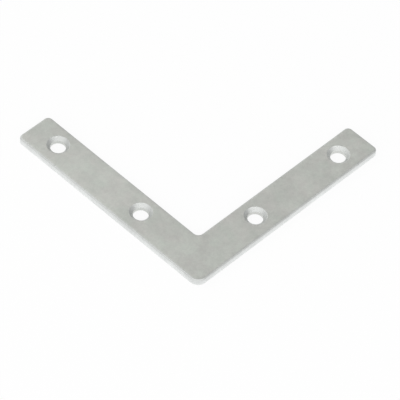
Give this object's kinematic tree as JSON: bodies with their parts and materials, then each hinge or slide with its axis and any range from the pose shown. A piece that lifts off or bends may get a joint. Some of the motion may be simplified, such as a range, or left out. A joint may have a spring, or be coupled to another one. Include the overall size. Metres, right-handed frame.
{
  "type": "flat corner brace",
  "caption": "Flat L-shaped steel corner brace with countersunk screw holes along both arms, rounded corners and a matt zinc-plated finish.",
  "frame": {"origin": "the point of the underside where the two arms' lines of screw holes cross", "axes": "+X along one arm and +Y along the other, away from the corner; +Z through the thickness, towards the countersinks"},
  "size_m": [0.0759, 0.0759, 0.0023],
  "materials": {
    "zinc_plated_steel": "matt zinc plating"
  },
  "bodies": {
    "root": {"corner_brace": "zinc_plated_steel"}
  },
  "joints": []
}
